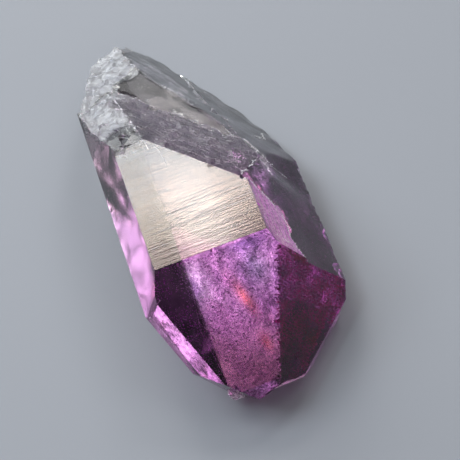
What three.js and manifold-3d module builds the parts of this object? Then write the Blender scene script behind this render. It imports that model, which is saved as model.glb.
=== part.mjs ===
// A purple aura quartz point: one natural crystal lying on one of its prism faces.
// Millimetres. The long axis runs along Y: the point is towards -Y, the broken root towards +Y,
// and +Z is up. The origin is the middle of the bottom of the crystal's bounding box.
import * as THREE from 'three';
import { ConvexGeometry } from 'three/addons/geometries/ConvexGeometry.js';
import { mergeVertices } from 'three/addons/utils/BufferGeometryUtils.js';
import Module from 'manifold-3d';

// Distances of the growth faces from the middle of the crystal. Each list starts at the top and
// goes clockwise as seen from the pointed end.
const PRISM_DISTANCES = [5.94, 6.07, 8.85, 5.9, 6.74, 8.85];
const TIP_DISTANCES = [9, 9.84, 12.81, 13, 13.44, 12.54];
const FACES_AROUND = 6;

// Quartz: a tip face's normal leans this far from the long axis.
const TIP_LEAN = THREE.MathUtils.degToRad(51.79);

// Narrow flats along two edges of the left side: how deep each one cuts in from the sharp corner.
const LEFT_TIP_FLAT_DEPTH = 0.3;
const LEFT_TOP_FLAT_DEPTH = 0.12;

// The crystal before its root broke off, measured from the middle.
const UNCUT_ROOT = 34;

// The root broke along sloping surfaces. dip is the angle between the surface and level ground,
// heading is the compass direction it faces (0 is +X, 90 is +Y), distance is from the middle.
const ROOT_SLOPE = { dip: 21.8, heading: 90, distance: 8.69 };
const SIDE_SLOPE = { dip: 36.9, heading: 39.1, distance: 6.15 };
const HOLLOW_FLOOR = { dip: 16.9, heading: 37.7, distance: 3.24 };
const OUTER_SLOPE = { dip: 50.6, heading: 27.8, distance: 6.93 };
const ROOT_END = { dip: 76, heading: 122, distance: 26.6 };
const ROOT_TOE = { dip: 82, heading: 62, distance: 26.3 };

// The upper right face is split away below its top edge, down to a surface just under it.
const SPLIT_FACE = { dip: 57.6, heading: 0, distance: 5.78 };
// Size of the notches along the ledge, and how far they stray from its line.
const LEDGE_NOTCH = 0.4;
const LEDGE_RAGGEDNESS = 0.22;
// The ledge where the split stops: place along Y, then height up the face.
const SPLIT_LEDGE = [
  [-10.5, 3.4], [-8.6, 5], [-7.5, 6.3], [-4.7, 6.6], [-2.4, 6.4], [-2.1, 7.6], [-0.8, 9.4], [0.6, 14],
];
const SPLIT_FOOT = { x: 8.61, z: -2.78 };
// Lower down, the split drops another step along a sloping line: a place on it, its rise per
// millimetre along Y, and its depth.
const SPLIT_STEP = { y: 3.1, height: 3.5, rise: 1.7, depth: 0.45 };

// A chip under the pointed end, and a rough nub beside it.
const TIP_CHIP = { dip: 134.6, heading: -81, distance: 13.98 };
const TIP_CHIP_MIDDLE = [0.1, -17.1, -2.9];
const NUB_CENTRE = [-4.05, -14.5, -4.45];
const NUB_RADIUS = 0.62;

// Facet size of the broken surfaces.
const BREAK_CELL = 0.55;
const CUTTER_THICKNESS = 16;

const wasm = await Module();
wasm.setup();

// Repeatable noise from whole-number grid places.
function hash(i, j, seed) {
  let h = Math.imul(i, 374761393) + Math.imul(j, 668265263) + Math.imul(seed, 2147483647);
  h = Math.imul(h ^ (h >>> 13), 1274126177);
  return ((h ^ (h >>> 16)) >>> 0) / 4294967296;
}

// Smooth noise between -1 and 1.
function noise(x, y, seed) {
  const i = Math.floor(x);
  const j = Math.floor(y);
  const u = THREE.MathUtils.smoothstep(x - i, 0, 1);
  const v = THREE.MathUtils.smoothstep(y - j, 0, 1);
  const low = THREE.MathUtils.lerp(hash(i, j, seed), hash(i + 1, j, seed), u);
  const high = THREE.MathUtils.lerp(hash(i, j + 1, seed), hash(i + 1, j + 1, seed), u);
  return 2 * THREE.MathUtils.lerp(low, high, v) - 1;
}

// Splintery relief: each cell of a jittered grid is a small tilted flat.
function splinters(x, y, seed) {
  const i = Math.floor(x);
  const j = Math.floor(y);
  let nearest = Infinity;
  let height = 0;
  for (let di = -1; di <= 1; di += 1) {
    for (let dj = -1; dj <= 1; dj += 1) {
      const dx = x - (i + di + hash(i + di, j + dj, seed));
      const dy = y - (j + dj + hash(i + di, j + dj, seed + 1));
      const distance = dx * dx + dy * dy;
      if (distance < nearest) {
        nearest = distance;
        const tiltX = 2 * hash(i + di, j + dj, seed + 2) - 1;
        const tiltY = 2 * hash(i + di, j + dj, seed + 3) - 1;
        height = tiltX * dx + tiltY * dy + hash(i + di, j + dj, seed + 4) - 0.5;
      }
    }
  }
  return height;
}

function normalOf({ dip, heading }) {
  const lean = THREE.MathUtils.degToRad(dip);
  const turn = THREE.MathUtils.degToRad(heading);
  return new THREE.Vector3(Math.cos(turn) * Math.sin(lean), Math.sin(turn) * Math.sin(lean), Math.cos(lean));
}

function toSolid(geometry) {
  const bare = geometry.clone();
  bare.deleteAttribute('normal');
  bare.deleteAttribute('uv');
  const merged = mergeVertices(bare, 1e-5);
  return new wasm.Manifold(new wasm.Mesh({
    numProp: 3,
    vertProperties: new Float32Array(merged.attributes.position.array),
    triVerts: new Uint32Array(merged.index.array),
  }));
}

// The corners where three planes meet, on or inside all the others.
function cornersOf(planes) {
  const corners = [];
  const row = new THREE.Matrix3();
  for (let a = 0; a < planes.length; a += 1) {
    for (let b = a + 1; b < planes.length; b += 1) {
      for (let c = b + 1; c < planes.length; c += 1) {
        const [n, m, k] = [planes[a].normal, planes[b].normal, planes[c].normal];
        row.set(n.x, n.y, n.z, m.x, m.y, m.z, k.x, k.y, k.z);
        if (Math.abs(row.determinant()) > 1e-4) {
          const distances = new THREE.Vector3(planes[a].distance, planes[b].distance, planes[c].distance);
          const corner = distances.applyMatrix3(row.clone().invert());
          if (planes.every((plane) => plane.normal.dot(corner) < plane.distance + 1e-6)) {
            corners.push(corner);
          }
        }
      }
    }
  }
  return corners;
}

// A flat that trims the edge between two faces, leaning from the first towards the second.
function edgeFlat(first, second, third, share, depth) {
  const corner = cornersOf([first, second, third])[0];
  const normal = first.normal.clone().addScaledVector(second.normal, share).normalize();
  return { normal, distance: normal.dot(corner) - depth };
}

// The whole crystal as it grew: six prism faces, six tip faces, and the two narrow flats.
function grownCrystal() {
  const planes = [];
  for (const [distances, lean] of [[PRISM_DISTANCES, Math.PI / 2], [TIP_DISTANCES, TIP_LEAN]]) {
    for (let face = 0; face < FACES_AROUND; face += 1) {
      const turn = (face / FACES_AROUND) * 2 * Math.PI;
      const normal = new THREE.Vector3(
        Math.sin(turn) * Math.sin(lean),
        -Math.cos(lean),
        Math.cos(turn) * Math.sin(lean),
      );
      planes.push({ normal, distance: distances[face] });
    }
  }
  const [lowerLeft, upperLeft, leftTip] = [planes[4], planes[5], planes[11]];
  planes.push(edgeFlat(leftTip, lowerLeft, upperLeft, 0.5, LEFT_TIP_FLAT_DEPTH));
  planes.push(edgeFlat(upperLeft, leftTip, lowerLeft, 0.8, LEFT_TOP_FLAT_DEPTH));
  const uncutRoot = { normal: new THREE.Vector3(0, 1, 0), distance: UNCUT_ROOT };
  return toSolid(new ConvexGeometry(cornersOf([...planes, uncutRoot])));
}

// Axes on a sloping surface, at its point nearest to middle: X along its level line, Y up the
// slope and Z straight out.
function frameOf(surface, middle) {
  const normal = normalOf(surface);
  const across = new THREE.Vector3(0, 0, 1).cross(normal).normalize();
  const upSlope = normal.clone().cross(across);
  const place = new THREE.Vector3(...middle);
  place.addScaledVector(normal, surface.distance - normal.dot(place));
  return new THREE.Matrix4().makeBasis(across, upSlope, normal).setPosition(place);
}

// A thick plate whose underside is a broken surface. relief(u, v) is the height of the surface
// over its plane, in the axes of frameOf.
function breakCutter(surface, middle, width, length, relief, cell = BREAK_CELL) {
  const plate = new THREE.BoxGeometry(
    width,
    length,
    CUTTER_THICKNESS,
    Math.round(width / cell),
    Math.round(length / cell),
    1,
  );
  const points = plate.attributes.position;
  for (let i = 0; i < points.count; i += 1) {
    if (points.getZ(i) < 0) {
      points.setZ(i, relief(points.getX(i), points.getY(i)));
    } else {
      points.setZ(i, CUTTER_THICKNESS);
    }
  }
  return toSolid(plate.applyMatrix4(frameOf(surface, middle)));
}

// Frosty and splintery, with shallow waves.
function rootSlopeCutter() {
  const relief = (u, v) => 0.22 * splinters(u / 2.6, v / 2.1, 11) + 0.3 * noise(u / 3.1, v / 3.7, 5);
  return breakCutter(ROOT_SLOPE, [0, 21, 0], 24, 32, relief);
}

// The side slope runs down from the top face to a shallow smooth hollow, which lies flatter.
function sideSlopeCutter() {
  const middle = [2, 9, 0];
  const frame = frameOf(SIDE_SLOPE, middle);
  const steep = normalOf(SIDE_SLOPE);
  const flat = normalOf(HOLLOW_FLOOR);
  const relief = (u, v) => {
    const point = new THREE.Vector3(u, v, 0).applyMatrix4(frame);
    const floor = (HOLLOW_FLOOR.distance - flat.dot(point)) / flat.dot(steep);
    if (floor > 0) {
      return floor + 0.12 * noise(u / 4, v / 4, 31) + 0.05 * splinters(u / 1.8, v / 1.8, 33);
    }
    return 0.16 * splinters(u / 1.4, v / 1.1, 21) + 0.1 * noise(u / 2.3, v / 1.3, 25);
  };
  return breakCutter(SIDE_SLOPE, middle, 36, 28, relief);
}

// Shell-like waves that spread from one corner.
function outerSlopeCutter() {
  const relief = (u, v) => 0.07 * Math.sin(Math.hypot(u + 12, v - 9) * 2.1) + 0.16 * noise(u / 4, v / 3, 41);
  return breakCutter(OUTER_SLOPE, [4, 15, 0], 38, 22, relief, 0.65);
}

function rootEndCutters() {
  const rough = (u, v) => 0.22 * splinters(u / 1.6, v / 1.6, 51) + 0.25 * noise(u / 2.6, v / 2.6, 55);
  return [
    breakCutter(ROOT_END, [-5, 28, -4], 18, 14, rough),
    breakCutter(ROOT_TOE, [0, 29, -4], 18, 12, rough),
  ];
}

// The part of the split face above its ledge, which stays whole: a plate with one jagged side.
function keptFace(frame) {
  const outline = new THREE.Shape();
  const last = SPLIT_LEDGE.length - 1;
  outline.moveTo(...SPLIT_LEDGE[0]);
  for (let i = 0; i < last; i += 1) {
    const start = new THREE.Vector2(...SPLIT_LEDGE[i]);
    const end = new THREE.Vector2(...SPLIT_LEDGE[i + 1]);
    const steps = Math.ceil(start.distanceTo(end) / LEDGE_NOTCH);
    const sideways = new THREE.Vector2(start.y - end.y, end.x - start.x).normalize();
    for (let step = 1; step <= steps; step += 1) {
      const notch = LEDGE_RAGGEDNESS * noise(i * 9 + step * 1.7, 0, 61);
      const point = start.clone().lerp(end, step / steps).addScaledVector(sideways, notch);
      outline.lineTo(point.x, point.y);
    }
  }
  outline.lineTo(SPLIT_LEDGE[0][0], SPLIT_LEDGE[last][1]);
  const plate = new THREE.ExtrudeGeometry(outline, { depth: 4, bevelEnabled: false });
  return toSolid(plate.translate(0, 0, -2).applyMatrix4(frame));
}

function splitFaceCutter() {
  const relief = (u, v) => {
    const belowStep = SPLIT_STEP.height + SPLIT_STEP.rise * (u - SPLIT_STEP.y) - v;
    const drop = SPLIT_STEP.depth * THREE.MathUtils.smoothstep(belowStep, 0, 0.5);
    return 0.06 * noise(u / 2.4, v / 1.7, 63) - drop * THREE.MathUtils.smoothstep(v, 0, 3);
  };
  const middle = [SPLIT_FOOT.x, 0, SPLIT_FOOT.z];
  const cutter = breakCutter(SPLIT_FACE, middle, 24, 24, relief, 0.5);
  return cutter.subtract(keptFace(frameOf(SPLIT_FACE, middle)));
}

function tipChipCutter() {
  const relief = (u, v) => -0.45 * Math.exp(-(u * u + v * v) / 1.4) + 0.06 * noise(u / 0.6, v / 0.6, 71);
  return breakCutter(TIP_CHIP, TIP_CHIP_MIDDLE, 6, 3.2, relief, 0.35);
}

function frostyNub() {
  const lump = new THREE.IcosahedronGeometry(NUB_RADIUS, 3);
  const points = lump.attributes.position;
  const point = new THREE.Vector3();
  for (let i = 0; i < points.count; i += 1) {
    point.fromBufferAttribute(points, i);
    const bumps = noise(point.x * 3 + 7, point.y * 3 + point.z * 2, 81);
    point.multiplyScalar(1 + 0.22 * bumps);
    points.setXYZ(i, point.x, point.y, point.z);
  }
  return toSolid(lump.translate(...NUB_CENTRE));
}

function quartzPoint() {
  let solid = grownCrystal().add(frostyNub());
  const cutters = [
    rootSlopeCutter(),
    sideSlopeCutter(),
    outerSlopeCutter(),
    ...rootEndCutters(),
    splitFaceCutter(),
    tipChipCutter(),
  ];
  for (const cutter of cutters) {
    solid = solid.subtract(cutter);
  }
  const { vertProperties, triVerts } = solid.getMesh();
  const geometry = new THREE.BufferGeometry();
  geometry.setAttribute('position', new THREE.BufferAttribute(vertProperties, 3));
  geometry.setIndex(new THREE.BufferAttribute(triVerts, 1));
  geometry.computeBoundingBox();
  const { min, max } = geometry.boundingBox;
  geometry.translate(-(min.x + max.x) / 2, -(min.y + max.y) / 2, -min.z);
  geometry.computeVertexNormals();
  return geometry;
}

const quartz = new THREE.MeshStandardMaterial({ color: '#8a4a9c', roughness: 0.12, metalness: 0 });
const crystal = new THREE.Mesh(quartzPoint(), quartz);
crystal.name = 'quartz_point';

const part = new THREE.Group();
part.add(crystal);

export default part;
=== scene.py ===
import math
import random

import bmesh
import bpy
import numpy as np
from mathutils import Matrix, Vector, noise
from mathutils.bvhtree import BVHTree
from mathutils.geometry import delaunay_2d_cdt


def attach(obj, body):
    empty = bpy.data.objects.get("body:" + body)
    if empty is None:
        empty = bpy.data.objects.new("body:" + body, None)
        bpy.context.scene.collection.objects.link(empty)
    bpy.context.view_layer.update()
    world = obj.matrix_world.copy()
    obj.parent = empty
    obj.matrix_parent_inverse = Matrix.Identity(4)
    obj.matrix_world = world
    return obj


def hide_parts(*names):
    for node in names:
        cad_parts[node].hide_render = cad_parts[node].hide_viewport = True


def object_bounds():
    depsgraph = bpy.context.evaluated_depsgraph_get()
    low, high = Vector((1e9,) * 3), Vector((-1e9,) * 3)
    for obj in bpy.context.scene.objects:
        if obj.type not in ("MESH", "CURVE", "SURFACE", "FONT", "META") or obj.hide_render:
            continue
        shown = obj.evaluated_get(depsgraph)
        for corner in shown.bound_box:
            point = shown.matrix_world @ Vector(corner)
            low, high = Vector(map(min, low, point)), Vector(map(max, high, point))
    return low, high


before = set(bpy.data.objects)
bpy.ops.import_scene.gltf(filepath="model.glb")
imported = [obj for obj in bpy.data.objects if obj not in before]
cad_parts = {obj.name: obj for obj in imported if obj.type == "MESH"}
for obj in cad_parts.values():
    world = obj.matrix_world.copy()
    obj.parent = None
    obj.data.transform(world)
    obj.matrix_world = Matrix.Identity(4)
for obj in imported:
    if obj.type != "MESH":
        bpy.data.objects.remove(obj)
cad_low, cad_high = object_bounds()

MM = 0.001
NODE = "quartz_point"

# The middle of the crystal's long axis, where the distances of its growth faces are measured from.
# The resting face is 5.9 mm under it and the sharp tip 17.785 mm in front of it.
AXIS_HEIGHT = 5.9 * MM
TIP_REACH = 17.785 * MM
AXIS_ASIDE = 0.195 * MM
middle = Vector((AXIS_ASIDE, cad_low[1] + TIP_REACH, cad_low[2] + AXIS_HEIGHT))

# The photograph's viewing angle: the camera's place as seen from the crystal, its roll, and how
# far its aim lies from the middle of the crystal.
VIEW_AZIMUTH = math.radians(-0.44)
VIEW_ELEVATION = math.radians(47.36)
VIEW_ROLL = math.radians(-20.21)
VIEW_DISTANCE = 236.1 * MM
AIM_ASIDE = 0.632 * MM
AIM_UP = 0.014 * MM
SENSOR = 36.0
IMAGE_PIXELS = 460
FOCAL_PIXELS = 2623
CLIP_START = 0.01
CLIP_END = 10

# A pale floor just under the crystal, and a faint grey sky.
FLOOR_HALF = 1.5
FLOOR_GAP = 0.05 * MM
FLOOR_COLOUR = (0.205, 0.218, 0.24, 1)
FLOOR_ROUGHNESS = 0.6
SKY_COLOUR = (0.8, 0.85, 0.95, 1)
SKY_STRENGTH = 0.06

# The lights as (name, direction, distance, width, height, radiance, colour), in metres.
LIGHTS = [
    ("core", (-0.008, 0.674, 0.7388), 0.44, 0.013, 0.015, 13.0, (1, 0.95, 0.88)),
    ("glow", (0.01, 0.678, 0.735), 0.44, 0.012, 0.012, 3.5, (1, 0.85, 0.75)),
    ("left_back", (-0.27, 0.76, 0.59), 0.5, 0.28, 0.25, 2.9, (1, 1, 1)),
    ("back", (-0.25, 0.95, 0.2), 0.5, 0.36, 0.2, 3.3, (0.93, 0.97, 1)),
    ("tip_back", (0.06, 0.87, 0.48), 0.5, 0.16, 0.12, 7.5, (1, 1, 1)),
    ("low_right", (0.6, 0.77, 0.2), 0.5, 0.12, 0.1, 0.12, (1, 1, 1)),
    ("rim", (0.5, 0.43, 0.75), 0.45, 0.11, 0.11, 11.0, (1, 1, 1)),
    ("hollow_sky", (0.3, 0.885, 0.36), 0.5, 0.25, 0.15, 1.2, (1, 1, 1)),
    ("overhead", (-0.5, 0.2, 0.84), 0.6, 0.4, 0.4, 6.2, (0.88, 0.93, 1)),
    ("right", (0.5, -0.15, 0.85), 0.6, 0.3, 0.3, 3.0, (1, 1, 1)),
    ("front", (-0.1, -0.8, 0.55), 0.6, 0.6, 0.3, 2.0, (1, 1, 1)),
]
# Narrow lights one above the other, which the level top face mirrors, as (height over the horizon
# in degrees, radiance, colour). The fine growth lines break them into streaks.
SLAT_DISTANCE = 0.45
SLAT_SIZE = (0.13, 0.0165)
SLATS = [
    (38.6, 2.0, (0.92, 0.97, 1)),
    (40.8, 8.6, (0.92, 0.97, 1)),
    (43.0, 1.8, (0.92, 0.97, 1)),
    (45.2, 8.2, (0.93, 0.97, 1)),
    (47.1, 8.6, (1, 0.8, 0.63)),
    (49.3, 1.3, (1, 0.7, 0.5)),
    (51.8, 3.3, (1, 0.8, 0.8)),
    (54.0, 1.0, (1, 0.84, 0.76)),
]

# A flat facet larger than this is a growth face.
GROWTH_AREA = 1.2 * MM * MM
# Growth faces are told apart by their normals. One of the prism has next to no part along the axis,
# and the others are told by how far they look up or to the right.
PRISM_ALONG = 0.1
LEVEL_UP = 0.9
SLANTED_UP = 0.4
FRONT_UP = 0.7
RIGHT_ASIDE = 0.6
# How far the level top face lies above the middle, and how near to it a point counts as on it.
TOP_HEIGHT = 5.94 * MM
TOP_NEAR = 0.001 * MM
# The growth face on the right lies a little further out than the split face below it.
RIGHT_REACH = 5.93 * MM


def direction(dip, heading):
    """The normal of a surface that dips from level by dip and faces heading, both in degrees."""
    lean = math.radians(dip)
    turn = math.radians(heading)
    return Vector((math.cos(turn) * math.sin(lean), math.sin(turn) * math.sin(lean), math.cos(lean)))


# The broken surfaces, each as its normal and its distance from the middle.
BREAKS = {
    "root_slope": (direction(21.8, 90), 8.69 * MM),
    "side_slope": (direction(36.9, 39.1), 6.15 * MM),
    "hollow_floor": (direction(16.9, 37.7), 3.24 * MM),
    "outer_slope": (direction(50.6, 27.8), 6.93 * MM),
    "split_face": (direction(57.6, 0), 5.78 * MM),
}
SMOOTH_BREAKS = ("hollow_floor", "outer_slope", "split_face")
# A facet belongs to a broken surface that lies nearer to it than this.
BREAK_RELIEF = 0.8 * MM
# Behind this the side slope passes into the root slope.
SIDE_SLOPE_END = 19 * MM
# The rough nub beside the pointed end.
NUB_CENTRE = Vector((-4.05, -14.5, -4.45)) * MM
NUB_RADIUS = 0.9 * MM
# The way the side slope's fine splinters run, along the ridge between it and the hollow, and the
# share of their length by which noise is drawn in so that it runs along them.
SPLINTERS = Vector((0.64, -0.77, 0))
SPLINTER_DRAW = 0.75
# A dark feathery patch at the lower end of the root slope, in millimetres from the middle. It fades
# out between two shares of its size, and its feathers have a strength and a size.
DARK_PATCH = Vector((-5.06, 10.4, 5.2))
DARK_PATCH_SIZE = 2.9
PATCH_FADE = (0.65, 0.95)
PATCH_FEATHERS = (0.3, 0.4)

# Points nearer than this are one point, and facets that meet at less than this angle are one face.
WELD_DISTANCE = 0.0005 * MM
FLAT_ANGLE = math.radians(0.2)
# The broken surfaces' coarse facets are evened out, cut finer and evened out again. The rounds of
# evening out are those before and after the cuts.
SMOOTH_ROUNDS = (5, 6)
FROSTED_ROUNDS = (6, 8)
SMOOTH_CUTS = 2
ROUGH_CUTS = 4
# The fine relief of the broken surfaces, as (height, size) in millimetres.
ROOT_CHIPS = (0.15, 1.5)
ROOT_SMALL_CHIPS = (0.03, 0.7)
SPLINTER_CHIPS = (0.12, 0.4)
SPLINTER_GRAIN = (0.02, 0.3)
HOLLOW_WAVES = (0.015, 1.4)
OUTER_WAVES = (0.012, 1.0)
# Neighbouring chips lie this many times as far apart in the noise that tilts them.
CHIP_SPREAD = 37

# The grid that a growth face is cut into: its spacing along and across the long axis. Points nearer
# to the face's rim than the gap are left out and the relief fades in, both counted in grid steps.
PRISM_GRID = (0.12 * MM, 0.7 * MM)
TIP_GRID = (0.3 * MM, 0.3 * MM)
RIM_GAP = 0.4
RIM_FADE = 1.5
TRIANGLES_INSIDE = 1
MERGE_DISTANCE = 1e-6
TINY = 1e-12
# The ledges that cross the prism faces: their height on the top face and on the others in
# thousandths of a millimetre, how many there are to a millimetre along the axis and across it, and
# a shift that gives each face a pattern of its own.
TOP_LEDGES = 0.25
SIDE_LEDGES = 0.1
MICRON = 0.001
LEDGES_ALONG = 2.6
LEDGES_ACROSS = 0.16
LEDGE_SHIFT = (7, 3)
# The faint mounds on the tip faces, in millimetres.
MOUND_HEIGHT = 0.004
MOUND_SIZE = 2.2
# Facets that meet at more than this angle make a ridge. It has crumbs where it borders these zones.
RIDGE_ANGLE = math.radians(15)
RIDGE_ZONES = {"side_slope", "root_slope", "split_face"}

QUARTZ_IOR = 1.55
ABSORPTION_COLOUR = (0.72, 0.5, 0.72, 1)
ABSORPTION_DENSITY = 60
# The roughness of each zone of the surface, how mottled it is and how strong its growth lines are.
FINISH = {
    "top_face": (0.07, 0.0, 1.0),
    "left_face": (0.16, 0.4, 0.2),
    "right_face": (0.3, 1.0, 0.3),
    "bottom_face": (0.02, 0.0, 0.0),
    "prism_face": (0.03, 0.0, 0.1),
    "front_tip": (0.14, 1.0, 0.0),
    "right_tip": (0.15, 0.6, 0.0),
    "side_tip": (0.08, 0.6, 0.0),
    "root_slope": (0.4, 0.1, 0.0),
    "root_end": (0.4, 0.1, 0.0),
    "side_slope": (0.4, 0.7, 0.0),
    "hollow_floor": (0.12, 0.0, 0.0),
    "outer_slope": (0.06, 0.0, 0.0),
    "split_face": (0.08, 0.0, 0.0),
    "nub": (0.2, 0.5, 0.0),
    "tip_chip": (0.05, 0.5, 0.0),
}
PATCH_ROUGHNESS = 0.22
# The mottling: fine specks, broad patches and thin dark loops, each as a size in millimetres and
# the ramp over its noise as (position, colour).
SPECK_SIZE = 0.22
SPECK_RAMP = [(0.36, (0.35, 0.28, 0.42)), (0.47, (0.9, 0.85, 0.95)), (0.6, (1.6, 1.9, 1.6))]
BROAD_SIZE = 2.2
BROAD_RAMP = [(0.35, (0.65, 0.6, 0.7)), (0.62, (1.15, 1.15, 1.1))]
LOOP_SIZE = 0.5
LOOP_COLOUR = (0.35, 0.25, 0.4)
LOOP_RAMP = [(0.45, (1, 1, 1)), (0.48, LOOP_COLOUR), (0.5, LOOP_COLOUR), (0.53, (1, 1, 1))]
# The fine growth lines and the pits between the grains, in millimetres, and how the lines' noise is
# drawn out across the axis.
LINE_HEIGHT = 0.0042
LINE_SIZE = 0.15
LINE_STRETCH = (0.025, 1, 0.025)
PIT_DEPTH = 0.003
PIT_SIZE = 0.16
# A grain's own shading.
CRUMB_SHADE_SIZE = 0.1
CRUMB_SHADE_RAMP = [(0.3, (0.8, 0.8, 0.8)), (0.6, (1.0, 1.0, 1.0))]
CRUMB_ROUGHNESS = 0.3

# The colours that light takes on at the surface. Distances are along the axis in millimetres, and a
# fade is where one colour starts to pass into the next and where it ends. A face with no colours of
# its own here is purple up to the middle and clear towards the root.
CLEAR_START = 12
PURPLE_END = -2
CLEAR_TINT = (0.93, 0.96, 0.94)
PURPLE_TINT = (0.4, 0.16, 0.38)
# Faces with one tint of their own. The soft clouds are mixed into it, except on the split face.
FACE_TINTS = {
    "front_tip": (0.42, 0.12, 0.37),
    "right_tip": (0.36, 0.012, 0.22),
    "side_tip": (0.42, 0.15, 0.38),
    "right_face": (1.0, 0.7, 1.0),
    # The split face's dark tint is partly its purple and partly painted shade of the dark surroundings
    # seen through it.
    "split_face": (0.22, 0.04, 0.18),
    "nub": (0.8, 0.5, 0.7),
    "tip_chip": (0.35, 0.05, 0.22),
}
# The level top face is pink towards the tip, tan in the middle and grey towards the root. The fades
# run slantwise, by a share of the distance to the right.
TOP_TINTS = [(0.4, 0.06, 0.22), (0.76, 0.44, 0.32), (0.25, 0.26, 0.28)]
TOP_FADES = [(-8, -3), (-1, 5)]
TOP_SLANTS = [0.4, 0.3]
# The left face is bright towards the tip, dark further up and clear grey beside the root.
LEFT_TINTS = [(0.58, 0.29, 0.54), (0.27, 0.13, 0.25), (0.14, 0.085, 0.11), (0.2, 0.2, 0.2)]
LEFT_FADES = [(-7, -1), (1, 6), (10.5, 14)]
# The bottom face is purple up to the middle, and clearer under the root.
BOTTOM_TINTS = [(0.45, 0.34, 0.43), (0.8, 0.86, 0.78)]
BOTTOM_FADES = [(2, 14)]
# The outer slope is dark, partly from its purple and partly from painted shade of the dark
# surroundings seen through it, and clear at the root end. Further towards the tip the split face
# passes into its dark tint.
OUTER_TINTS_AND_SHADE = [(0.15, 0.06, 0.14), (0.8, 0.78, 0.74)]
OUTER_FADES = [(8, 17)]
SPLIT_FADES = [(-3, 4)]
# The outer slope's streaks: their middle, swing and size, and the range that they are held to.
STREAK_MIDDLE = 0.85
STREAK_SWING = 0.9
STREAK_SIZE = 0.9
STREAK_RANGE = (0.2, 1.2)
# The clear hollow's olive tint, a painted reflection of the olive surroundings, and the dark feathery
# patch on the root slope.
HOLLOW_TINT_AND_REFLECTION = (0.95, 0.95, 0.78)
PATCH_TINT = (0.03, 0.02, 0.04)
# Soft clouds of colour under the faces, one of them painted shade, as (centre, direction of the long
# way, half length, half breadth, colour, strength), in millimetres from the middle of the crystal.
COLOUR_CLOUDS_AND_SHADE = [
    ((-4.1, -8.9, 4.4), (0.1, -2, -1.6), 2.0, 1.1, (1.0, 0.68, 0.98), 0.95),
    ((-0.3, -10.87, 2.9), (1.07, -2.99, -2.36), 1.7, 0.45, (0.7, 0.06, 0.02), 0.95),
    ((0.1, -14.3, 0.2), (0.3, -1.2, -0.9), 0.9, 0.4, (0.6, 0.05, 0.02), 0.8),
    ((1.5, -9.2, 4.2), (0.2, -1.5, -1.2), 2.2, 1.5, (0.11, 0.09, 0.18), 0.93),
    ((1.2, -7.2, 5.6), (1, -0.12, -0.05), 2.8, 1.1, (0.06, 0.02, 0.12), 0.93),
    ((-1.2, -16.0, -1.8), (1, -0.4, -0.3), 3.4, 2.3, (0.09, 0.01, 0.07), 0.92),
    # Painted shade: this dark cloud darkens the shadowed recess in the outer slope.
    ((3.2, 16.6, -1.9), (3.5, 0.5, -4.2), 2.8, 1.2, (0.05, 0.04, 0.05), 0.92),
    ((4.0, -13.0, -2.2), (0.5, -1.5, -2), 1.3, 0.9, (0.25, 0.01, 0.01), 0.85),
    ((5.2, -8.46, 2.7), (1.56, 0, -2.6), 1.5, 0.25, (0.3, 0.015, 0.01), 0.8),
    ((2.4, -14.6, -1.7), (0.5, -1, -1), 1.2, 0.7, (0.12, 0.002, 0.09), 0.7),
]

# The crumbs of each zone, as (crumbs per square millimetre, size, least and greatest depth, pale
# colour, dark colour), in millimetres.
CRUMBS = {
    "root_slope": (320, 0.04, -0.01, 0.02, (0.96, 0.98, 1.0), (0.8, 0.84, 0.95)),
    "root_end": (320, 0.04, -0.01, 0.02, (0.96, 0.98, 1.0), (0.8, 0.84, 0.95)),
    "side_slope": (90, 0.14, -0.02, 0.25, (0.85, 0.73, 0.8), (0.1, 0.07, 0.1)),
    "hollow_floor": (1, 0.16, 0.15, 0.4, (0.9, 0.9, 0.9), (0.3, 0.3, 0.3)),
    "outer_slope": (1.5, 0.16, 0.15, 0.4, (0.9, 0.9, 0.9), (0.3, 0.3, 0.3)),
    "nub": (260, 0.12, -0.05, 0.02, (1.0, 0.95, 1.0), (1.0, 0.78, 0.92)),
    "left_face": (26, 0.14, 0.15, 0.6, (0.8, 0.45, 0.6), (0.12, 0.03, 0.08)),
    "right_face": (620, 0.09, -0.01, 0.03, (1.0, 0.62, 1.0), (0.8, 0.25, 0.8)),
    "front_tip": (24, 0.15, 0.15, 0.55, (0.9, 0.42, 0.8), (0.1, 0.02, 0.12)),
    "right_tip": (140, 0.2, 0.15, 0.6, (0.95, 0.1, 0.5), (0.45, 0.02, 0.28)),
    "split_face": (50, 0.16, 0.12, 0.5, (0.5, 0.22, 0.48), (0.1, 0.03, 0.1)),
    "side_tip": (8, 0.15, 0.15, 0.5, (0.8, 0.4, 0.75), (0.1, 0.02, 0.12)),
}
# The zones whose crumbs are frost on the surface, and those whose crumbs are veils at or under it.
FROSTED = ("root_slope", "root_end", "nub")
VEILED = (
    "left_face", "split_face", "side_slope", "hollow_floor", "outer_slope",
    "right_face", "front_tip", "right_tip", "side_tip",
)
# How crumbs crowd together, as (least crowd, swing, size of a crowd in millimetres).
VEIL_CROWD = (0.1, 1.2, 1.6)
FLAKE_CROWD = (0.15, 1.5, 2.0)
RIDGE_CROWD = (0, 2, 1.3)
# Frost and the root's bright chips, which are painted sparkles, crowd on some small flats: the flats'
# size, and how strongly.
FROST_FLAT = 0.9
FROST_LEAST = 0.15
FROST_GAIN = 1.5
SPARKLE_FLAT = 0.7
SPARKLE_GAIN = 3
# How far a crumb strays from its facet's centre, and the share of its zone's least depth that the
# crystal has to cover it by.
CRUMB_STRAY = 0.12
FINE_STRAY = 0.05
LEAST_COVER = 0.3
# Pale and dark crumbs lie in groups: the groups' size, how strongly they differ, and how far a crumb
# may fall outside its group's colour.
GROUP_SIZE = 0.45
GROUP_SWING = 1.2
GROUP_STRAY = 0.25
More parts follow.
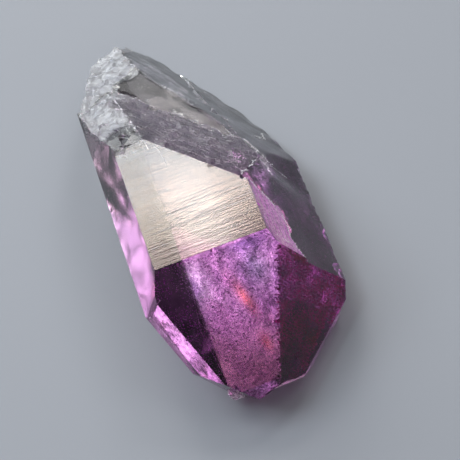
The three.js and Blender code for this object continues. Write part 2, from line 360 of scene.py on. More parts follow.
# The colour of the crumbs on the dark side of the healed crack, painted shade that keeps that side
# dark, and of most in the dark patch.
WEDGE_SHADE_CRUMB = (0.5, 0.04, 0.55)
PATCH_CRUMB = (0.07, 0.06, 0.08)
PATCH_SHARE = 0.9
# The left face has veils only towards the root.
LEFT_VEILS = (0, 5)
# The milky flakes per square millimetre of root, their depths, size and colour.
FLAKE_DENSITY = 32
FLAKE_DEPTHS = (0.18, 0.9)
FLAKE_COVER = 0.3
FLAKE_SIZE = 0.45
FLAKE_COLOUR = (0.97, 0.98, 1.0)
# White chips that stand in for sparkles, painted highlights, per square millimetre of the broken root.
SPARKLE_DENSITY = 14
SPARKLE_LIFT = 0.03
SPARKLE_SIZE = 0.14
SPARKLE_PATCH = 0.3
WHITE = (1.0, 1.0, 1.0)
# White crumbs per millimetre of ridge, and how far below and above it they lie. They are partly the
# ridges' pale frosting and partly painted glints.
RIDGE_DENSITY = 12
RIDGE_SPREAD = (-0.06, 0.05)
RIDGE_SIZE = 0.18
RIDGE_COLOUR = (0.98, 0.96, 0.99)
# A crumb is an uneven triangle with a low point over its middle. The lengths are shares of its size,
# and the twist is in degrees.
CRUMB_SIZES = (0.5, 1.3)
CRUMB_TWIST = 35
CRUMB_SPOKES = (0.35, 0.65)
CRUMB_PEAK = 0.25
CRUMB_FACES = ((0, 1, 3), (1, 2, 3), (2, 0, 3), (2, 1, 0))
# A ray that starts inside the crystal leaves it through a facet that looks the same way.
TEST_RAY = Vector((0.23, 0.11, 0.97)).normalized()
# Crumbs on the surface stay above this height from the middle, 0.15 mm over the resting face.
FROST_BOTTOM = 0.15 * MM - AXIS_HEIGHT

# Rows of fine crumbs on the faces, as (points, spacing, size, colour), in millimetres from the
# middle: the healed crack down the front, a painted highlight along the narrow bevel beside it and two
# scratches on the top.
CRACK = [(-4.14, -7.03, 5.9), (-4.21, -8.51, 4.72), (-4.89, -12.09, 1.9), (-4.24, -15.9, -1.1)]
BEVEL_HIGHLIGHT = [(-7.24, -9.1, 4.34), (-8.64, -9.02, 2.51)]
LONG_SCRATCH = [(-3.11, 7.0, 5.945), (-2.89, 6.34, 5.945), (-2.69, 5.29, 5.945), (-2.66, 3.94, 5.945)]
SHORT_SCRATCH = [(-3.89, 8.08, 5.945), (-3.76, 7.07, 5.945)]
MARKS = [
    (CRACK, 0.07, 0.1, (1.0, 0.75, 0.95)),
    (BEVEL_HIGHLIGHT, 0.05, 0.14, (1.0, 0.85, 1.0)),
    (LONG_SCRATCH, 0.05, 0.15, WHITE),
    (SHORT_SCRATCH, 0.05, 0.15, WHITE),
]
# Rows of bright grains on the broken surfaces, as (surface, half breadth, spacing, size, colour,
# points), how far they stand out, and how much their sizes differ. Some rows are painted glints.
GLINT_LIFT = 0.04
GLINT_SIZES = (0.5, 1.2)
GLINT_ROWS = [
    # A sparkly ridge: partly pale frosting, partly painted glints.
    ("outer_slope", 0.13, 0.035, 0.13, (1, 0.97, 1), [
        (4.78, 9.83, -0.03), (5.42, 7.24, 0.74), (5.83, 5.87, 0.8), (6.14, 5.04, 0.33),
    ]),
    ("outer_slope", 0.02, 0.06, 0.1, (1, 0.97, 1), [(6.14, 5.04, 0.33), (7.14, 4.16, -1.05)]),
    ("root_slope", 0.05, 0.05, 0.09, WHITE, [(-5.9, 12.0, 4.62), (-5.3, 10.2, 5.34)]),
    ("root_slope", 0.05, 0.05, 0.09, WHITE, [(-5.1, 12.1, 4.58), (-4.8, 10.0, 5.42)]),
    ("root_slope", 0.05, 0.05, 0.09, WHITE, [(-4.3, 11.9, 4.66), (-4.3, 10.4, 5.26)]),
    ("root_slope", 0.05, 0.05, 0.09, WHITE, [(-6.4, 11.0, 5.02), (-5.0, 9.3, 5.7)]),
    # Painted glints: white grains where the outer slope shows highlights.
    ("outer_slope", 0.1, 0.06, 0.12, WHITE, [
        (6.7, 13.9, -4.39), (6.62, 12.21, -3.36), (5.76, 12.25, -2.47),
    ]),
    ("hollow_floor", 0.12, 0.06, 0.1, (0.85, 0.82, 0.83), [
        (-3.7, 19.41, 0.89), (-2.25, 17.35, 0.74), (-0.95, 15.8, 0.74), (0.88, 14.71, 0.42),
        (2.55, 13.94, 0.07), (3.66, 12.14, 0.0),
    ]),
    ("hollow_floor", 0.2, 0.05, 0.1, (0.95, 0.95, 0.95), [
        (-2.19, 23.1, -0.33), (-0.62, 20.46, -0.32), (0.9, 17.67, -0.24), (1.4, 16.41, -0.11),
    ]),
    # Painted glints: a sparkly patch of white grains by the hollow.
    ("outer_slope", 0.35, 0.02, 0.12, WHITE, [(-0.59, 20.75, -0.47), (0.52, 19.59, -0.91)]),
    ("hollow_floor", 0.1, 0.03, 0.12, WHITE, [(-2.4, 18.6, 0.56), (-2.2, 18.3, 0.56)]),
    # Painted glints along the split face's sparkly border.
    ("split_face", 0.12, 0.025, 0.13, (1, 0.85, 1), [
        (3.79, -0.9, 5.57), (4.16, -1.4, 4.94), (4.52, -1.9, 4.3), (4.85, -2.57, 3.73),
        (5.15, -3.4, 3.22), (5.36, -4.33, 2.86), (5.55, -4.95, 2.04),
    ]),
    ("side_slope", 0.35, 0.015, 0.12, (1, 0.6, 0.95), [(3.51, 5.77, 2.96), (3.57, 3.29, 4.09)]),
    ("side_slope", 0.3, 0.02, 0.12, (1, 0.6, 0.95), [(2.77, 1.62, 5.42), (3.6, 1.2, 4.7)]),
]


def camera_axes():
    """The camera's right, up and backward directions."""
    back = Vector((
        math.sin(VIEW_AZIMUTH) * math.cos(VIEW_ELEVATION),
        -math.cos(VIEW_AZIMUTH) * math.cos(VIEW_ELEVATION),
        math.sin(VIEW_ELEVATION),
    ))
    level = Vector((0, 0, 1)).cross(back).normalized()
    upright = back.cross(level)
    right = math.cos(VIEW_ROLL) * level + math.sin(VIEW_ROLL) * upright
    up = math.cos(VIEW_ROLL) * upright - math.sin(VIEW_ROLL) * level
    return right, up, back


def make_camera():
    right, up, back = camera_axes()
    data = bpy.data.cameras.new("camera")
    data.sensor_width = SENSOR
    data.lens = SENSOR * FOCAL_PIXELS / IMAGE_PIXELS
    data.clip_start = CLIP_START
    data.clip_end = CLIP_END
    camera = bpy.data.objects.new("camera", data)
    bpy.context.scene.collection.objects.link(camera)
    place = middle + VIEW_DISTANCE * back + AIM_ASIDE * right + AIM_UP * up
    turn = Matrix((right, up, back)).transposed().to_4x4()
    camera.matrix_world = Matrix.Translation(place) @ turn
    bpy.context.scene.camera = camera


def make_floor():
    mesh = bpy.data.meshes.new("floor")
    level = cad_low[2] - FLOOR_GAP
    sides = [(-1, -1), (1, -1), (1, 1), (-1, 1)]
    mesh.from_pydata([(x * FLOOR_HALF, y * FLOOR_HALF, level) for x, y in sides], [], [(0, 1, 2, 3)])
    floor = bpy.data.objects.new("floor", mesh)
    bpy.context.scene.collection.objects.link(floor)
    material = bpy.data.materials.new("pale_floor")
    material.use_nodes = True
    shader = material.node_tree.nodes["Principled BSDF"]
    shader.inputs["Base Color"].default_value = FLOOR_COLOUR
    shader.inputs["Roughness"].default_value = FLOOR_ROUGHNESS
    mesh.materials.append(material)


def make_sky():
    world = bpy.data.worlds.new("studio")
    bpy.context.scene.world = world
    world.use_nodes = True
    background = world.node_tree.nodes["Background"]
    background.inputs["Color"].default_value = SKY_COLOUR
    background.inputs["Strength"].default_value = SKY_STRENGTH


def soft_light(name, place, width, height, radiance, colour):
    """A rectangular light that looks at the crystal."""
    data = bpy.data.lights.new(name, "AREA")
    data.energy = radiance * math.pi * width * height
    data.color = colour
    data.shape = "RECTANGLE"
    data.size = width
    data.size_y = height
    light = bpy.data.objects.new(name, data)
    bpy.context.scene.collection.objects.link(light)
    light.location = place
    light.rotation_euler = (place - middle).to_track_quat("Z", "Y").to_euler()


def make_lights():
    """The soft lights round the crystal, and the slats that its top face mirrors."""
    for name, toward, distance, width, height, radiance, colour in LIGHTS:
        place = middle + distance * Vector(toward).normalized()
        soft_light(name, place, width, height, radiance, colour)
    for index, (elevation, radiance, colour) in enumerate(SLATS):
        lift = math.radians(elevation)
        place = middle + SLAT_DISTANCE * Vector((0, math.cos(lift), math.sin(lift)))
        soft_light(f"slat_{index}", place, *SLAT_SIZE, radiance, colour)


def add_node(material, kind, **settings):
    node = material.node_tree.nodes.new(kind)
    for name, value in settings.items():
        setattr(node, name, value)
    return node


def wire(material, source, target):
    material.node_tree.links.new(source, target)


def fill_sockets(material, sockets, values):
    """Gives each socket its value: a number, a colour or another node's output."""
    for socket, value in zip(sockets, values):
        if isinstance(value, (int, float)):
            socket.default_value = value
        elif isinstance(value, tuple):
            socket.default_value = (*value, 1)
        else:
            wire(material, value, socket)


def maths(material, operation, first, second):
    """A Math node whose two inputs are outputs or numbers."""
    node = add_node(material, "ShaderNodeMath", operation=operation)
    fill_sockets(material, node.inputs, (first, second))
    return node.outputs[0]


def mix(material, factor, first, second, blend="MIX"):
    """A colour Mix node. The factor and both colours are outputs or plain values."""
    node = add_node(material, "ShaderNodeMix", data_type="RGBA", blend_type=blend)
    share, before, after = node.inputs[0], node.inputs[6], node.inputs[7]
    fill_sockets(material, (share, before, after), (factor, first, second))
    return node.outputs[2]


def attribute(material, name, output="Fac"):
    return add_node(material, "ShaderNodeAttribute", attribute_name=name).outputs[output]


def place_in_mm(material, stretch=(1, 1, 1)):
    """Object coordinates in millimetres, stretched along each axis."""
    coordinates = add_node(material, "ShaderNodeTexCoord")
    mapping = add_node(material, "ShaderNodeMapping")
    mapping.inputs["Scale"].default_value = tuple(1 / MM * part for part in stretch)
    wire(material, coordinates.outputs["Object"], mapping.inputs["Vector"])
    return mapping.outputs["Vector"]


def grain(material, place, size, detail=2, roughness=0.5):
    """Noise from 0 to 1 with features of that size in millimetres."""
    node = add_node(material, "ShaderNodeTexNoise")
    node.inputs["Scale"].default_value = 1 / size
    node.inputs["Detail"].default_value = detail
    node.inputs["Roughness"].default_value = roughness
    wire(material, place, node.inputs["Vector"])
    return node.outputs["Fac"]


def ramp(material, value, stops):
    """A colour ramp over value, its stops given as (position, colour)."""
    node = add_node(material, "ShaderNodeValToRGB")
    elements = node.color_ramp.elements
    while len(elements) < len(stops):
        elements.new(1)
    for element, (position, colour) in zip(elements, stops):
        element.position = position
        element.color = (*colour, 1)
    wire(material, value, node.inputs["Fac"])
    return node.outputs["Color"]


def mottling(material, place):
    """A colour factor of fine specks, broad patches and thin dark loops."""
    fine = grain(material, place, SPECK_SIZE, detail=3, roughness=0.6)
    specks = ramp(material, fine, SPECK_RAMP)
    broad = ramp(material, grain(material, place, BROAD_SIZE), BROAD_RAMP)
    loops = ramp(material, grain(material, place, LOOP_SIZE), LOOP_RAMP)
    mottle = mix(material, 1.0, specks, broad, "MULTIPLY")
    return mix(material, 1.0, mottle, loops, "MULTIPLY")


def fine_relief(material, place, mottled):
    """A bump from the growth lines and from the pits between the grains."""
    rows = grain(material, place_in_mm(material, LINE_STRETCH), LINE_SIZE, detail=1)
    lines = maths(material, "MULTIPLY", rows, LINE_HEIGHT)
    lines = maths(material, "MULTIPLY", lines, attribute(material, "lined"))
    pits = maths(material, "MULTIPLY", grain(material, place, PIT_SIZE, detail=3), PIT_DEPTH)
    pits = maths(material, "MULTIPLY", pits, mottled)
    bump = add_node(material, "ShaderNodeBump")
    bump.inputs["Strength"].default_value = 1
    bump.inputs["Distance"].default_value = MM
    wire(material, maths(material, "ADD", lines, pits), bump.inputs["Height"])
    return bump.outputs["Normal"]


def quartz_material():
    material = bpy.data.materials.new("purple_quartz")
    material.use_nodes = True
    nodes = material.node_tree.nodes
    shader = nodes["Principled BSDF"]
    shader.inputs["Transmission Weight"].default_value = 1
    shader.inputs["IOR"].default_value = QUARTZ_IOR
    place = place_in_mm(material)
    mottled = attribute(material, "grain")
    factor = mix(material, mottled, (1.0, 1.0, 1.0), mottling(material, place))
    colour = mix(material, 1.0, attribute(material, "tint", "Color"), factor, "MULTIPLY")
    wire(material, colour, shader.inputs["Base Color"])
    wire(material, attribute(material, "rough"), shader.inputs["Roughness"])
    wire(material, fine_relief(material, place, mottled), shader.inputs["Normal"])
    absorption = add_node(material, "ShaderNodeVolumeAbsorption")
    absorption.inputs["Color"].default_value = ABSORPTION_COLOUR
    absorption.inputs["Density"].default_value = ABSORPTION_DENSITY
    wire(material, absorption.outputs["Volume"], nodes["Material Output"].inputs["Volume"])
    return material


def crumb_material(name):
    """Grains on and in the quartz, each with its own colour."""
    material = bpy.data.materials.new(name)
    material.use_nodes = True
    shader = material.node_tree.nodes["Principled BSDF"]
    speckle = grain(material, place_in_mm(material), CRUMB_SHADE_SIZE)
    shade = ramp(material, speckle, CRUMB_SHADE_RAMP)
    colour = mix(material, 1.0, attribute(material, "tint", "Color"), shade, "MULTIPLY")
    wire(material, colour, shader.inputs["Base Color"])
    shader.inputs["Roughness"].default_value = CRUMB_ROUGHNESS
    return material


def on_prism(normal):
    """Whether a growth face with that normal belongs to the prism and not to the tip."""
    return abs(normal.y) < PRISM_ALONG


def face_zone(face):
    """The zone a facet belongs to: a growth face by where it looks, or a broken surface."""
    if face.calc_area() < GROWTH_AREA:
        return nearest_break(face.calc_center_median())
    normal = face.normal
    if on_prism(normal):
        if normal.z > LEVEL_UP:
            return "top_face"
        if normal.z > SLANTED_UP and normal.x < 0:
            return "left_face"
        if normal.z > SLANTED_UP:
            reach = normal.dot(face.calc_center_median() - middle)
            return "right_face" if reach > RIGHT_REACH else "split_face"
        return "bottom_face" if normal.z < -LEVEL_UP else "prism_face"
    if normal.z > FRONT_UP:
        return "front_tip"
    return "right_tip" if normal.x > RIGHT_ASIDE and normal.z > 0 else "side_tip"


def nearest_break(point):
    """The name of the broken surface that a point lies on, or root_end for none of them."""
    place = point - middle
    gaps = {name: abs(normal.dot(place) - distance) for name, (normal, distance) in BREAKS.items()}
    name = min(gaps, key=gaps.get)
    if name == "side_slope" and place.y > SIDE_SLOPE_END:
        name = "root_slope"
    if gaps[name] < BREAK_RELIEF:
        return name
    if (place - NUB_CENTRE).length < NUB_RADIUS:
        return "nub"
    return "root_end" if place.y > 0 else "tip_chip"


def turbulence(point, size, octaves=2):
    """Noise from about -1 to 1 with features of that size."""
    decay = 1.0
    lacunarity = 2.0
    return noise.fractal(point / size, decay, lacunarity, octaves)


def along_splinters(place):
    """The place drawn in along the splinters, so that noise runs along them."""
    return place - SPLINTER_DRAW * place.dot(SPLINTERS) * SPLINTERS


def nearest_flat(place, size):
    """The centre of the small flat that a place belongs to, counted in sizes."""
    return noise.voronoi(place / size)[1][0]


def flat_share(place, size):
    """A share from 0 to 1 that stays the same over each small flat."""
    return 0.5 + 0.5 * noise.cell(nearest_flat(place, size) * CHIP_SPREAD)


def chips(place, height, size):
    """Height of small flats that tilt each its own way, all in millimetres."""
    nearest = nearest_flat(place, size)
    tilt = noise.cell_vector(nearest * CHIP_SPREAD) * 2 - Vector((1, 1, 1))
    return height * (size * tilt.dot(place / size - nearest))


def waves(place, height, size):
    """Height of a softly uneven surface, all in millimetres."""
    return height * turbulence(place, size)


def roughen(vertex, kind):
    """How far a point of a broken surface moves for the fine relief of its kind."""
    place = (vertex.co - middle) / MM
    if kind in ("root_slope", "root_end"):
        return (chips(place, *ROOT_CHIPS) + chips(place, *ROOT_SMALL_CHIPS)) * MM
    if kind == "side_slope":
        place = along_splinters(place)
        return (chips(place, *SPLINTER_CHIPS) + waves(place, *SPLINTER_GRAIN)) * MM
    if kind == "hollow_floor":
        return waves(place, *HOLLOW_WAVES) * MM
    return waves(along_splinters(place), *OUTER_WAVES) * MM


def growth_lines(point, normal):
    """Height of the fine ledges that cross the prism faces, and of faint mounds on the tip faces."""
    place = (point - middle) / MM
    if not on_prism(normal):
        return MOUND_HEIGHT * MM * turbulence(place, MOUND_SIZE)
    side = place.dot(normal.cross(Vector((0, 1, 0))))
    own = normal.x * LEDGE_SHIFT[0] + normal.z * LEDGE_SHIFT[1]
    ledges = turbulence(Vector((side * LEDGES_ACROSS, own, place.y * LEDGES_ALONG)), size=1, octaves=3)
    height = TOP_LEDGES if normal.z > LEVEL_UP else SIDE_LEDGES
    return MICRON * height * ledges * MM


def inside(points, outline):
    """Which 2-D points lie inside a closed outline, and how far each is from its sides."""
    crossings = np.zeros(len(points), int)
    nearest = np.full(len(points), np.inf)
    for a, b in zip(outline, np.roll(outline, -1, axis=0)):
        side = b - a
        rises = (a[1] > points[:, 1]) != (b[1] > points[:, 1])
        height = side[1] if abs(side[1]) > TINY else TINY
        crossings += rises & (points[:, 0] < a[0] + (points[:, 1] - a[1]) * side[0] / height)
        share = np.clip((points - a) @ side / max(side @ side, TINY), 0, 1)
        nearest = np.minimum(nearest, np.linalg.norm(points - a - share[:, None] * side, axis=1))
    return crossings % 2 == 1, nearest


def grid_inside(outline):
    """The points with whole numbers well inside an outline, and how far each is from its sides."""
    low = np.ceil(outline.min(0))
    high = np.floor(outline.max(0))
    rows = np.arange(low[0], high[0] + 1)
    columns = np.arange(low[1], high[1] + 1)
    grid = np.stack(np.meshgrid(rows, columns, indexing="ij"), -1).reshape(-1, 2)
    kept, gaps = inside(grid, outline)
    kept &= gaps > RIM_GAP
    return grid[kept], gaps[kept]


def pave(solid, face, step):
    """Cuts a flat growth face into a fine grid, lifts the grid's points and returns the facets.

    step is the grid's spacing along and across the long axis. The face's edges stay put, so that
    they stay crisp."""
    normal = face.normal.copy()
    along = Vector((0, 1, 0))
    along = (along - along.dot(normal) * normal).normalized()
    across = normal.cross(along)
    rim = list(face.verts)
    origin = rim[0].co.copy()
    outline = np.array([((v.co - origin).dot(along), (v.co - origin).dot(across)) for v in rim])
    outline = outline / np.array(step)
    grid, gaps = grid_inside(outline)
    flat = [Vector(point) for point in outline] + [Vector(point) for point in grid]
    loop = list(range(len(rim)))
    corners, _, triangles, sources, _, owners = delaunay_2d_cdt(
        flat, [], [loop], TRIANGLES_INSIDE, MERGE_DISTANCE, True
    )
    made = []
    for corner, source in zip(corners, sources):
        old = [i for i in source if i < len(rim)]
        if old:
            made.append(rim[old[0]])
            continue
        place = origin + along * corner[0] * step[0] + across * corner[1] * step[1]
        taper = min(1.0, (gaps[source[0] - len(rim)] - RIM_GAP) / RIM_FADE) if source else 0.0
        made.append(solid.verts.new(place + normal * growth_lines(place, normal) * max(taper, 0)))
    solid.faces.remove(face)
    inner = [triangle for triangle, owner in zip(triangles, owners) if owner]
    return [solid.faces.new([made[i] for i in triangle]) for triangle in inner]


def smooth_step(value, low, high):
    share = min(1.0, max(0.0, (value - low) / (high - low)))
    return share * share * (3 - 2 * share)


def blend_colours(first, second, share):
    return tuple(a + (b - a) * share for a, b in zip(first, second))


def fade(colours, fades, run):
    """The colour at a distance along a row of colours that pass into each other over the fades."""
    colour = colours[0]
    for following, (start, end) in zip(colours[1:], fades):
        colour = blend_colours(colour, following, smooth_step(run, start, end))
    return colour


def cloud_and_shade_tint(place, colour):
    """The colour at a place under a face once the soft clouds, one of them painted shade, are mixed
    in, place in millimetres.
    """
    for centre, along, length, breadth, cloud, strength in COLOUR_CLOUDS_AND_SHADE:
        offset = place - Vector(centre)
        run = offset.dot(Vector(along).normalized())
        aside = math.sqrt(max(0, offset.length_squared - run * run))
        nearness = math.exp(-((run / length) ** 2) - (aside / breadth) ** 2)
        colour = blend_colours(colour, cloud, strength * nearness)
    return colour


def patch_share(place):
    """How much of the dark feathery patch is at a place in millimetres, from 0 to 1."""
    strength, size = PATCH_FEATHERS
    feathers = strength * turbulence(along_splinters(place), size, 3)
    return 1 - smooth_step((place - DARK_PATCH).length / DARK_PATCH_SIZE + feathers, *PATCH_FADE)


def top_tint(place):
    near, far = [
        smooth_step(place.y + slant * place.x, *span) for slant, span in zip(TOP_SLANTS, TOP_FADES)
    ]
    return blend_colours(TOP_TINTS[0], blend_colours(TOP_TINTS[1], TOP_TINTS[2], far), near)


def outer_tint_and_shade(place):
    # The dark tint is partly painted shade.
    colour = fade(OUTER_TINTS_AND_SHADE, OUTER_FADES, place.y)
    streaks = STREAK_MIDDLE + STREAK_SWING * turbulence(along_splinters(place), STREAK_SIZE)
    streaks = min(STREAK_RANGE[1], max(STREAK_RANGE[0], streaks))
    return cloud_and_shade_tint(place, tuple(part * streaks for part in colour))


def tint_at(place, zone):
    """The colour that light takes on in passing the surface there, place in millimetres."""
    if zone == "split_face":
        return fade([FACE_TINTS[zone], OUTER_TINTS_AND_SHADE[0]], SPLIT_FADES, place.y)
    if zone in FACE_TINTS:
        return cloud_and_shade_tint(place, FACE_TINTS[zone])
    if zone == "top_face":
        return top_tint(place)
    if zone == "bottom_face":
        return fade(BOTTOM_TINTS, BOTTOM_FADES, place.y)
    if zone == "left_face":
        return fade(LEFT_TINTS, LEFT_FADES, place.y)
    # The hollow's olive tint is a painted reflection.
    if zone == "hollow_floor":
        return cloud_and_shade_tint(place, HOLLOW_TINT_AND_REFLECTION)
    if zone == "outer_slope":
        return outer_tint_and_shade(place)
    if zone == "root_slope" and patch_share(place) > 0:
        return blend_colours(CLEAR_TINT, PATCH_TINT, patch_share(place))
    share = 1 - smooth_step(place.y, PURPLE_END, CLEAR_START)
    return blend_colours(CLEAR_TINT, PURPLE_TINT, share)


def relax(solid, verts, rounds):
    for _ in range(rounds):
        bmesh.ops.smooth_vert(
            solid, verts=verts, factor=0.5, use_axis_x=True, use_axis_y=True, use_axis_z=True
        )


def open_solid(mesh):
    """The mesh with whole flat faces, and with layers for what the material reads."""
    solid = bmesh.new()
    solid.from_mesh(mesh)
    solid.loops.layers.float_color.new("tint")
    for name in ("rough", "grain", "lined"):
        solid.faces.layers.float.new(name)
    bmesh.ops.remove_doubles(solid, verts=solid.verts, dist=WELD_DISTANCE)
    bmesh.ops.dissolve_limit(solid, angle_limit=FLAT_ANGLE, verts=solid.verts, edges=solid.edges)
    return solid


def cut_breaks(solid):
    """Evens out the broken surfaces' coarse facets and cuts them finer."""
    grown = {f for f in solid.faces if f.calc_area() > GROWTH_AREA}
    kinds = {f: nearest_break(f.calc_center_median()) for f in solid.faces if f not in grown}
    smooth = {f for f in kinds if kinds[f] in SMOOTH_BREAKS}
    rough_edges = {e for f in kinds if f not in smooth for e in f.edges}
    smooth_edges = {e for f in smooth for e in f.edges} - rough_edges
    rim = {v for f in solid.faces if f not in smooth for v in f.verts}
    relax(solid, [v for v in solid.verts if v not in rim], SMOOTH_ROUNDS[0])
    frosted = {v for f in kinds if kinds[f] in FROSTED for v in f.verts}
    frosted -= {v for f in grown for v in f.verts}
    relax(solid, list(frosted), FROSTED_ROUNDS[0])
    bmesh.ops.subdivide_edges(solid, edges=list(smooth_edges), cuts=SMOOTH_CUTS, use_grid_fill=True)
    bmesh.ops.subdivide_edges(solid, edges=list(rough_edges), cuts=ROUGH_CUTS, use_grid_fill=True)


def straighten(solid, name):
    """Moves the points where a broken surface meets the top face onto one straight line."""
    normal, distance = BREAKS[name]
    flat = Vector((normal.x, normal.y, 0))
    for vertex in solid.verts:
        place = vertex.co - middle
        level = abs(place.z - TOP_HEIGHT) < TOP_NEAR
        if level and nearest_break(vertex.co) == name:
            gap = normal.dot(place) - distance
            vertex.co -= flat * gap / flat.length_squared


def roughen_breaks(solid, grown):
    """Gives the broken surfaces their fine relief. The growth faces' corners stay put."""
    fixed = {v for f in grown for v in f.verts}
    loose = [v for v in solid.verts if v not in fixed]
    kinds = {v: nearest_break(v.co) for v in loose}
    relax(solid, [v for v in loose if kinds[v] in SMOOTH_BREAKS], SMOOTH_ROUNDS[1])
    relax(solid, [v for v in loose if kinds[v] in FROSTED], FROSTED_ROUNDS[1])
    solid.normal_update()
    moves = {v: v.normal * roughen(v, kinds[v]) for v in loose}
    for vertex, move in moves.items():
        vertex.co += move


def pave_growth_faces(solid, grown, zones):
    """Replaces each growth face by its fine facets, in the table of zones too."""
    for face in grown:
        zone = zones.pop(face)
        step = PRISM_GRID if on_prism(face.normal) else TIP_GRID
        for facet in pave(solid, face, step):
            zones[facet] = zone


def finish_facets(solid, zones):
    """Writes each facet's finish and the tints of its corners."""
    tint = solid.loops.layers.float_color["tint"]
    rough = solid.faces.layers.float["rough"]
    mottled = solid.faces.layers.float["grain"]
    lined = solid.faces.layers.float["lined"]
    for face, zone in zones.items():
        face.smooth = zone != "side_slope"
        face[rough], face[mottled], face[lined] = FINISH[zone]
        if zone == "root_slope" and patch_share((face.calc_center_median() - middle) / MM) > 0.5:
            face[rough] = PATCH_ROUGHNESS
        for corner in face.loops:
            corner[tint] = (*tint_at((corner.vert.co - middle) / MM, zone), 1)


def find_ridges(solid, zones):
    """The sharp edges between the broken surfaces, each as its two ends."""
    ridges = []
    for edge in solid.edges:
        sides = {zones[f] for f in edge.link_faces if zones[f] in BREAKS or zones[f] == "right_face"}
        sharp = len(edge.link_faces) == 2 and edge.calc_face_angle() > RIDGE_ANGLE
        if sharp and len(sides) == 2 and sides & RIDGE_ZONES:
            ridges.append((edge.verts[0].co.copy(), edge.verts[1].co.copy()))
    return ridges


def make_crystal():
    """The see-through crystal, made from a copy of its node's mesh.

    Returns its form for inside tests, its facets as (centre, normal, area, zone) and its ridges."""
    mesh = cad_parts[NODE].data.copy()
    if "custom_normal" in mesh.attributes:
        mesh.attributes.remove(mesh.attributes["custom_normal"])
    crystal = bpy.data.objects.new("crystal", mesh)
    bpy.context.scene.collection.objects.link(crystal)
    solid = open_solid(mesh)
    cut_breaks(solid)
    straighten(solid, "side_slope")
    zones = {f: face_zone(f) for f in solid.faces}
    grown = [f for f in solid.faces if f.calc_area() > GROWTH_AREA]
    roughen_breaks(solid, grown)
    pave_growth_faces(solid, grown, zones)
    finish_facets(solid, zones)
    solid.normal_update()
    facets = [(f.calc_center_median(), f.normal.copy(), f.calc_area(), zones[f]) for f in zones]
    form = BVHTree.FromBMesh(solid)
    ridges = find_ridges(solid, zones)
    bmesh.ops.triangulate(solid, faces=[f for f in solid.faces if len(f.verts) > 3])
    solid.to_mesh(mesh)
    solid.free()
    mesh.materials.clear()
    mesh.materials.append(quartz_material())
    mesh.set_sharp_from_angle(angle=RIDGE_ANGLE)
    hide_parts(NODE)
    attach(crystal, "root")
    return form, facets, ridges


def random_vector(chance, spread=1):
    return Vector((chance.gauss(0, spread), chance.gauss(0, spread), chance.gauss(0, spread)))


def crumb_corners(chance, width):
    """The four corners of one crumb round its place."""
    turn = random_vector(chance).normalized()
    side = turn.orthogonal().normalized()
    corners = []
    for third in (0, 120, 240):
        angle = math.radians(third + chance.uniform(-CRUMB_TWIST, CRUMB_TWIST))
        spoke = math.cos(angle) * side + math.sin(angle) * turn.cross(side)
        corners.append(spoke * width * chance.uniform(*CRUMB_SPOKES))
    corners.append(turn * width * CRUMB_PEAK)
    return corners


def make_crumbs(name, crumbs):
    """Small four-cornered crumbs as one piece, given as (place from the middle, size, colour)."""
    chance = random.Random(name)
    corners = []
    faces = []
    colours = []
    for place, size, colour in crumbs:
        width = size * MM * chance.uniform(*CRUMB_SIZES)
        first = len(corners)
        corners += [middle + place + corner for corner in crumb_corners(chance, width)]
        faces += [[first + i for i in triple] for triple in CRUMB_FACES]
        colours += [(*colour, 1)] * 4
    mesh = bpy.data.meshes.new(name)
    mesh.from_pydata(corners, [], faces)
    tint = mesh.color_attributes.new("tint", "FLOAT_COLOR", "POINT")
    tint.data.foreach_set("color", [value for colour in colours for value in colour])
    mesh.materials.append(crumb_material(name))
    piece = bpy.data.objects.new(name, mesh)
    bpy.context.scene.collection.objects.link(piece)
    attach(piece, "root")


def crack_at(y):
    """Where the healed crack down the front lies across the crystal, all in millimetres."""
    return float(np.interp(-y, [-point[1] for point in CRACK], [point[0] for point in CRACK]))


def buried(form, spot, depth):
    """Whether a spot lies at least that deep inside the crystal, both in millimetres."""
    place = middle + spot * MM
    _, way_out, _, _ = form.ray_cast(place, TEST_RAY)
    if way_out is None or way_out.dot(TEST_RAY) < 0:
        return False
    return form.find_nearest(place)[3] > depth * MM


def crowd_at(place, least, swing, size):
    """How crowded crumbs are at a place in millimetres, about 1 on the whole."""
    return max(least, 1 + swing * turbulence(place, size))


def how_many(chance, wanted):
    """A whole number of crumbs, which is the wanted one on average."""
    return int(wanted + chance.random())


def crumb_colour(chance, spot, zone, pale, dark):
    """The colour of the crumb at a spot: pale and dark ones lie in small groups."""
    lumps = along_splinters(spot) if zone == "side_slope" else spot
    stray = chance.uniform(-GROUP_STRAY, GROUP_STRAY)
    share = 0.5 + GROUP_SWING * turbulence(lumps, GROUP_SIZE) + stray
    colour = blend_colours(dark, pale, min(1, max(0, share)))
    if zone in FACE_TINTS:
        # Crumbs on the dark side of the crack take a dimmer colour: painted shade.
        in_painted_shade = zone == "front_tip" and spot.x < crack_at(spot.y)
        colour = cloud_and_shade_tint(spot, WEDGE_SHADE_CRUMB if in_painted_shade else colour)
    return PATCH_CRUMB if chance.random() < PATCH_SHARE * patch_share(spot) else colour


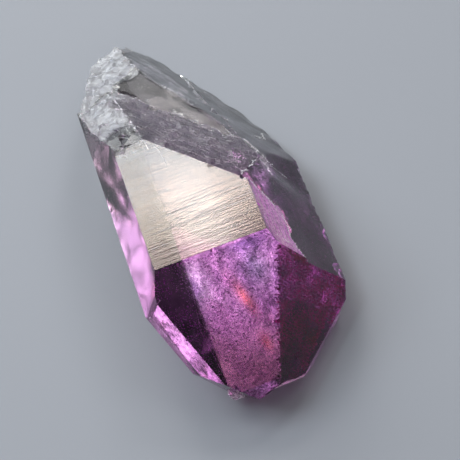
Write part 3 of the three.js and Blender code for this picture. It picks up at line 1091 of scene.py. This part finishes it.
def crumbs_under(form, facets, zones):
    """Crumbs at or just under the facets of those zones."""
    chance = random.Random("crumbs")
    crumbs = []
    for centre, normal, area, zone in facets:
        if zone not in zones:
            continue
        density, size, shallow, deep, pale, dark = CRUMBS[zone]
        place = (centre - middle) / MM
        crowd = crowd_at(place, *VEIL_CROWD)
        if zone in FROSTED:
            crowd = FROST_LEAST + FROST_GAIN * flat_share(place, FROST_FLAT) ** 2
        for _ in range(how_many(chance, area / (MM * MM) * density * crowd)):
            depth = shallow + (deep - shallow) * chance.random() ** 2
            stray = random_vector(chance, FINE_STRAY if zone in FACE_TINTS else CRUMB_STRAY)
            stray -= normal * stray.dot(normal)
            spot = place + stray - normal * depth
            if zone in VEILED and not buried(form, spot, LEAST_COVER * shallow):
                continue
            if zone == "left_face" and chance.random() > smooth_step(spot.y, *LEFT_VEILS):
                continue
            crumbs.append((spot * MM, size, crumb_colour(chance, spot, zone, pale, dark)))
    return crumbs


def flakes_under(form, facets):
    """Flat white flakes, the healed cracks that make the broken root milky."""
    chance = random.Random("flakes")
    flakes = []
    for centre, normal, area, zone in facets:
        place = (centre - middle) / MM
        density = FLAKE_DENSITY if zone in FROSTED else 0
        for _ in range(how_many(chance, area / (MM * MM) * density * crowd_at(place, *FLAKE_CROWD))):
            spot = place - normal * chance.uniform(*FLAKE_DEPTHS)
            if patch_share(spot) < 0.5 and buried(form, spot, FLAKE_COVER):
                flakes.append((spot * MM, FLAKE_SIZE, FLAKE_COLOUR))
    return flakes


def sparkles(facets):
    """Painted sparkles: bright white chips that stand in groups on some of the root's small flats."""
    chance = random.Random("sparkles")
    crumbs = []
    for centre, normal, area, zone in facets:
        place = (centre - middle) / MM
        if zone not in FROSTED or patch_share(place) > SPARKLE_PATCH:
            continue
        crowd = SPARKLE_GAIN * flat_share(place, SPARKLE_FLAT) ** 4
        for _ in range(how_many(chance, area / (MM * MM) * SPARKLE_DENSITY * crowd)):
            crumbs.append(((place + SPARKLE_LIFT * normal) * MM, SPARKLE_SIZE, WHITE))
    return crumbs


def crumbs_on_ridges(ridges):
    """White crumbs along the sharp ridges between the broken surfaces: partly pale frosting, partly
    painted glints.
    """
    chance = random.Random("ridges")
    crumbs = []
    for start, end in ridges:
        length = (end - start).length / MM
        crowd = crowd_at((start - middle) / MM, *RIDGE_CROWD)
        for _ in range(how_many(chance, length * RIDGE_DENSITY * crowd)):
            place = start.lerp(end, chance.random()) - middle
            place += Vector((0, 0, chance.uniform(*RIDGE_SPREAD))) * MM
            crumbs.append((place, RIDGE_SIZE, RIDGE_COLOUR))
    return crumbs


def crumb_line(points, spacing, size, colour):
    """A row of fine crumbs through points given in millimetres from the middle."""
    crumbs = []
    for start, end in zip(points, points[1:]):
        start = Vector(start)
        end = Vector(end)
        steps = max(1, round((end - start).length / spacing))
        for step in range(steps):
            crumbs.append((start.lerp(end, step / steps) * MM, size, colour))
    return crumbs


def glint_rows():
    """Grains strewn along the rows on the broken surfaces, some of them painted glints."""
    chance = random.Random("glints")
    crumbs = []
    for surface, breadth, spacing, size, colour, points in GLINT_ROWS:
        normal = BREAKS[surface][0]
        for place, *_ in crumb_line(points, spacing, size, colour):
            aside = random_vector(chance) * breadth
            aside -= normal * aside.dot(normal)
            spot = place + (aside + GLINT_LIFT * normal) * MM
            crumbs.append((spot, size * chance.uniform(*GLINT_SIZES), colour))
    return crumbs


def above_floor(crumbs):
    return [crumb for crumb in crumbs if crumb[0].z > FROST_BOTTOM]


bpy.context.scene.view_settings.view_transform = "Standard"
make_camera()
make_floor()
make_sky()
make_lights()
form, facets, ridges = make_crystal()
# The frost piece also holds the painted sparkles and the ridge crumbs, which are partly painted
# glints.
frost = crumbs_under(form, facets, FROSTED) + sparkles(facets) + crumbs_on_ridges(ridges)
make_crumbs("frost", above_floor(frost))
make_crumbs("milky_flakes", flakes_under(form, facets))
make_crumbs("veils", crumbs_under(form, facets, VEILED))
# The scratches piece also holds the painted highlight along the bevel and the painted glints of the
# grain rows.
marks_and_glints = [crumb for mark in MARKS for crumb in crumb_line(*mark)] + glint_rows()
make_crumbs("scratches", above_floor(marks_and_glints))
